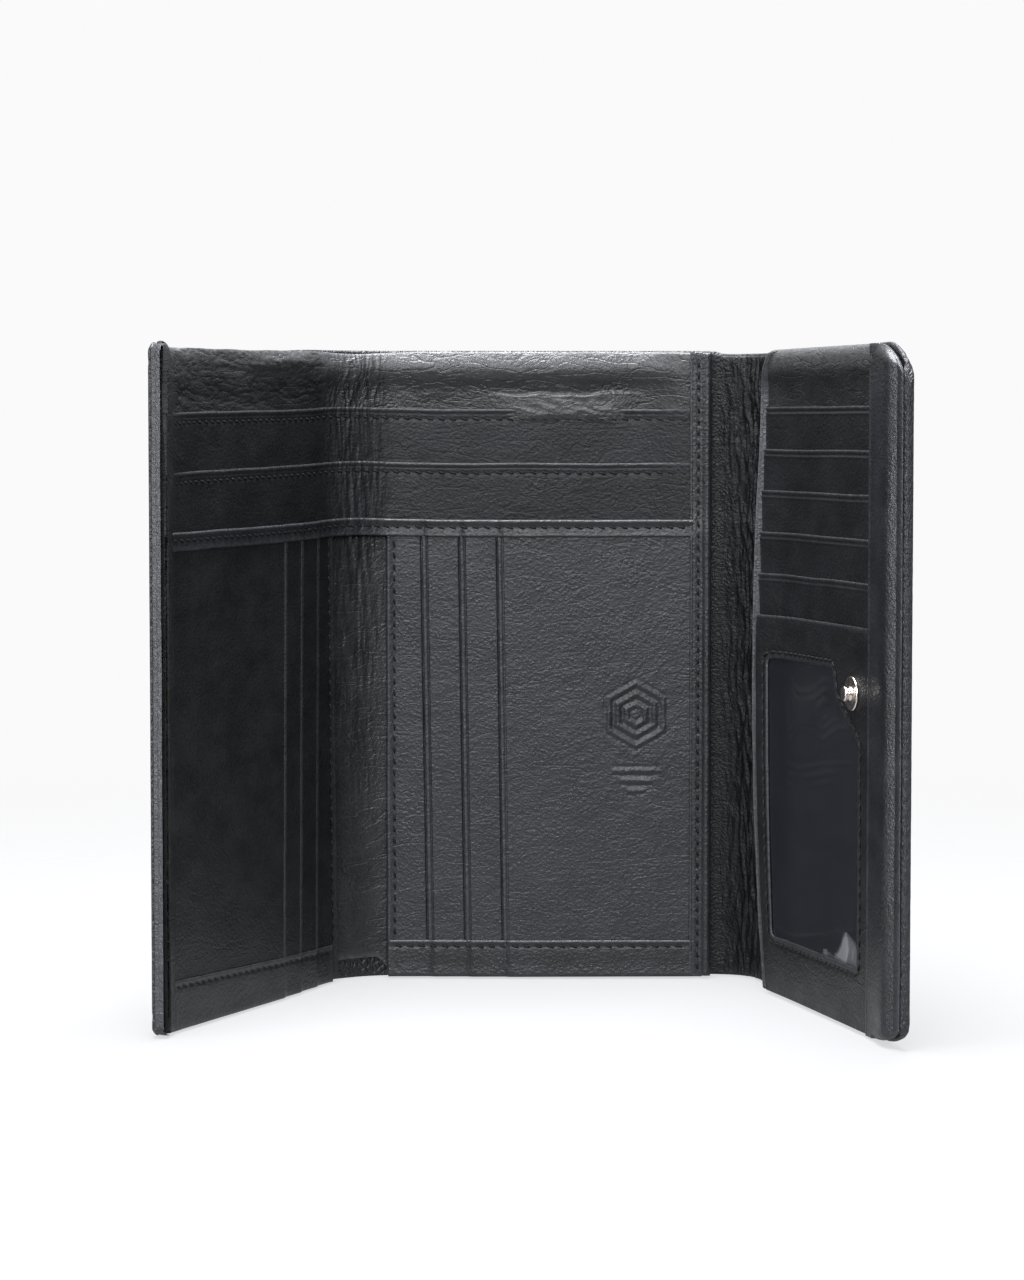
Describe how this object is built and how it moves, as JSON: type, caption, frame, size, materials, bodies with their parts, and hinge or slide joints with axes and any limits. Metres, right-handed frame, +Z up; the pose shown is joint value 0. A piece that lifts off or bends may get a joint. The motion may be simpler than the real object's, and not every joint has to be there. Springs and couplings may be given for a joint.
{
  "type": "trifold wallet",
  "caption": "Tall leather trifold wallet with card pockets, full-width note pockets, a window pocket and a snap closure on two folding flaps.",
  "frame": {"origin": "middle of the centre panel's bottom edge, halfway through the cover leather, where the wallet stands", "axes": "+Z up along the creases, +X to the reader's right along the centre panel, -Y out of the centre panel's inner face towards the reader"},
  "size_m": [0.1635, 0.1012, 0.145],
  "materials": {
    "grained_cover_leather": "coarse pebbled grain, semi-matt black",
    "pocket_leather": "fine smooth grain, soft sheen, black",
    "trim_leather": "fine smooth grain, soft sheen, black",
    "lining_leather": "thin soft lining leather, matt black",
    "stiffener_board": "matt stiffener board",
    "shielding_foil": "bright laminated foil, sealed inside",
    "padding_foam": "soft foam",
    "sewing_thread": "waxed black thread",
    "clear_film": "clear glossy film",
    "spring_wire": "spring wire",
    "snap_metal": "polished nickel"
  },
  "bodies": {
    "centre_panel": {"centre_board": "stiffener_board", "centre_bottom_band": "trim_leather", "centre_card_slot_1": "pocket_leather", "centre_card_slot_2": "pocket_leather", "centre_card_slot_3": "pocket_leather", "centre_cover": "grained_cover_leather", "centre_edge_band": "trim_leather", "centre_edge_filler": "trim_leather", "centre_gusset_flange": "grained_cover_leather", "centre_lining": "lining_leather", "centre_note_pocket_front": "pocket_leather", "centre_note_pocket_middle": "pocket_leather", "centre_note_pocket_rear": "pocket_leather", "centre_pocket_welt": "trim_leather", "centre_rfid_foil": "shielding_foil", "centre_seam_threads": "sewing_thread"},
    "left_spine": {"left_spine_cover": "grained_cover_leather", "left_spine_lining": "lining_leather", "left_spine_note_pocket_front": "pocket_leather", "left_spine_note_pocket_middle": "pocket_leather", "left_spine_note_pocket_rear": "pocket_leather"},
    "left_wing": {"left_wing_board": "stiffener_board", "left_wing_bottom_band": "trim_leather", "left_wing_card_slot_1": "pocket_leather", "left_wing_card_slot_2": "pocket_leather", "left_wing_card_slot_3": "pocket_leather", "left_wing_cover": "grained_cover_leather", "left_wing_edge_binding": "trim_leather", "left_wing_edge_filler": "trim_leather", "left_wing_lining": "lining_leather", "left_wing_note_pocket_front": "pocket_leather", "left_wing_note_pocket_middle": "pocket_leather", "left_wing_note_pocket_rear": "pocket_leather", "left_wing_pocket_welt": "trim_leather", "left_wing_rfid_foil": "shielding_foil", "left_wing_seam_threads": "sewing_thread", "snap_socket": "snap_metal", "snap_socket_eyelet": "snap_metal", "snap_socket_spring": "spring_wire"},
    "right_spine": {"right_spine_cover": "grained_cover_leather", "right_spine_gusset": "grained_cover_leather"},
    "right_wing": {"right_wing_backing": "lining_leather", "right_wing_board": "stiffener_board", "right_wing_border_binding": "trim_leather", "right_wing_border_padding": "padding_foam", "right_wing_card_slot_1": "pocket_leather", "right_wing_card_slot_2": "pocket_leather", "right_wing_card_slot_3": "pocket_leather", "right_wing_card_slot_4": "pocket_leather", "right_wing_card_slot_5": "pocket_leather", "right_wing_cover": "grained_cover_leather", "right_wing_foam": "padding_foam", "right_wing_hinge_piping": "trim_leather", "right_wing_id_panel": "pocket_leather", "right_wing_id_window": "clear_film", "right_wing_rfid_foil": "shielding_foil", "right_wing_seam_threads": "sewing_thread", "snap_stud": "snap_metal", "snap_stud_base": "snap_metal"}
  },
  "joints": [
    {"name": "left_spine_fold", "type": "hinge", "parent": "centre_panel", "child": "left_spine", "pos_m": [-0.0436, -0.0006, 0.0725], "axis": [0, 0, 1], "range_deg": [-31.9, 58.1]},
    {"name": "left_wing_fold", "type": "hinge", "parent": "left_spine", "child": "left_wing", "pos_m": [-0.05464, -0.00747, 0.0725], "axis": [0, 0, 1], "range_deg": [-31.9, 58.1]},
    {"name": "right_spine_fold", "type": "hinge", "parent": "centre_panel", "child": "right_spine", "pos_m": [0.0436, -0.0006, 0.0725], "axis": [0, 0, -1], "range_deg": [-73.2, 16.8]},
    {"name": "right_wing_fold", "type": "hinge", "parent": "right_spine", "child": "right_wing", "pos_m": [0.05007, -0.02204, 0.0725], "axis": [0, 0, -1], "range_deg": [-2.2, 87.8]}
  ]
}
